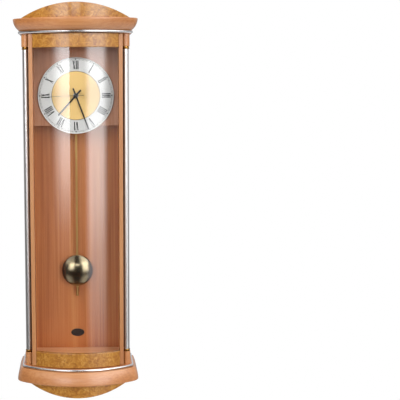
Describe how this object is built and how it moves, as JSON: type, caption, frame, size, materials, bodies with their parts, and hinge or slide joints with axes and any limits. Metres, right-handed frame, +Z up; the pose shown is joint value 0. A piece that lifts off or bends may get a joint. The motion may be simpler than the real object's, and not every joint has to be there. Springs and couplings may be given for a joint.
{
  "type": "pendulum wall clock",
  "caption": "Slim wall clock with a bowed glass door, two metal columns, an arched crown, a round dial with hands and a swinging pendulum.",
  "frame": {"origin": "centre of the hanging hole in the hanger plate, on the wall plane", "axes": "+Z up, +Y into the wall, so the dial faces -Y; +X to the right of someone who reads the dial"},
  "size_m": [0.23, 0.12, 0.73],
  "materials": {
    "beech": "steamed beech, satin lacquer",
    "dark_beech": "beech veneer in the glass's shade, satin lacquer",
    "burl": "burl veneer, gloss lacquer",
    "satin_aluminium": "drawn and satin anodised",
    "brass": "turned and lacquered",
    "gold_dial": "gold anodised, satin",
    "spun_aluminium": "spun, with circular brushing",
    "zinc_steel": "zinc plated",
    "black_paint": "matt black paint",
    "black_plastic": "moulded, fine texture",
    "battery_sleeve": "printed sleeve without lettering",
    "board_laminate": "glass-fibre laminate with lacquer",
    "ferrite": "sintered ferrite",
    "copper_winding": "enamelled copper wire",
    "white_plastic": "moulded",
    "red_plastic": "moulded",
    "clear_glass": "bent mineral glass"
  },
  "bodies": {
    "case": {"back_panel": "beech", "left_side": "beech", "right_side": "beech", "case_top": "beech", "floor_board": "beech", "front_jambs": "beech", "crown_board": "beech", "crown_moulding": "beech", "crown_returns": "beech", "crown_arch": "burl", "crown_band": "satin_aluminium", "base_board": "beech", "base_moulding": "beech", "base_returns": "beech", "base_apron": "burl", "base_band": "satin_aluminium", "capitals": "beech", "plinth_blocks": "beech", "columns": "satin_aluminium", "column_collars": "brass", "dial_board": "dark_beech", "dial_plate": "gold_dial", "chapter_ring": "spun_aluminium", "centre_nut": "zinc_steel", "movement_housing": "black_plastic", "movement_cover": "black_plastic", "movement_screws": "zinc_steel", "battery": "battery_sleeve", "battery_contacts": "zinc_steel", "circuit_board": "board_laminate", "antenna": "ferrite", "motor_coils": "copper_winding", "drive_coil": "copper_winding", "pivot_bushes": "brass", "catch_magnet": "ferrite", "oval_plaque": "black_paint", "hanger_plate": "zinc_steel", "hanging_rail": "beech"},
    "door": {"door_left_stile": "beech", "door_right_stile": "beech", "door_top_rail": "burl", "door_bottom_rail": "burl", "door_glass": "clear_glass", "door_pivots": "zinc_steel", "strike_plate": "zinc_steel"},
    "hour": {"hour_wheel": "brass", "hour_hand": "black_paint"},
    "minute": {"cannon_pinion": "brass", "minute_hand": "black_paint"},
    "second": {"second_wheel": "brass", "second_hand": "black_paint"},
    "motion": {"motion_wheel": "brass"},
    "pendulum": {"pendulum_hanger": "zinc_steel", "hanger_magnet": "ferrite", "pendulum_rod": "brass", "bob_front": "brass", "bob_back": "brass", "rating_nut": "brass"},
    "set_key": {"set_button": "white_plastic"},
    "reset_key": {"reset_button": "red_plastic"}
  },
  "joints": [
    {"name": "door_hinge", "type": "hinge", "parent": "case", "child": "door", "pos_m": [-0.08275, -0.079, -0.25], "axis": [0, 0, -1], "range_deg": [0, 105]},
    {"name": "pendulum_swing", "type": "hinge", "parent": "case", "child": "pendulum", "pos_m": [0, -0.022, -0.084], "axis": [0, 1, 0], "range_deg": [-5, 5]},
    {"name": "minute_turn", "type": "hinge", "parent": "case", "child": "minute", "pos_m": [0, -0.03, -0.062], "axis": [0, 1, 0], "continuous": true},
    {"name": "hour_turn", "type": "hinge", "parent": "case", "child": "hour", "pos_m": [0, -0.03, -0.062], "axis": [0, 1, 0], "continuous": true},
    {"name": "motion_turn", "type": "hinge", "parent": "case", "child": "motion", "pos_m": [0, -0.024, -0.05], "axis": [0, 1, 0], "continuous": true},
    {"name": "second_turn", "type": "hinge", "parent": "case", "child": "second", "pos_m": [0, -0.03, -0.062], "axis": [0, 1, 0], "continuous": true},
    {"name": "set_press", "type": "slide", "parent": "case", "child": "set_key", "axis": [0, -1, 0], "range_m": [0, 0.0008], "stiffness_N_per_m": 300},
    {"name": "reset_press", "type": "slide", "parent": "case", "child": "reset_key", "axis": [0, -1, 0], "range_m": [0, 0.0008], "stiffness_N_per_m": 300}
  ],
  "couplings": [
    {"joint": "hour_turn", "follows": "minute_turn", "ratio": 0.083333},
    {"joint": "motion_turn", "follows": "minute_turn", "ratio": -0.33333}
  ]
}
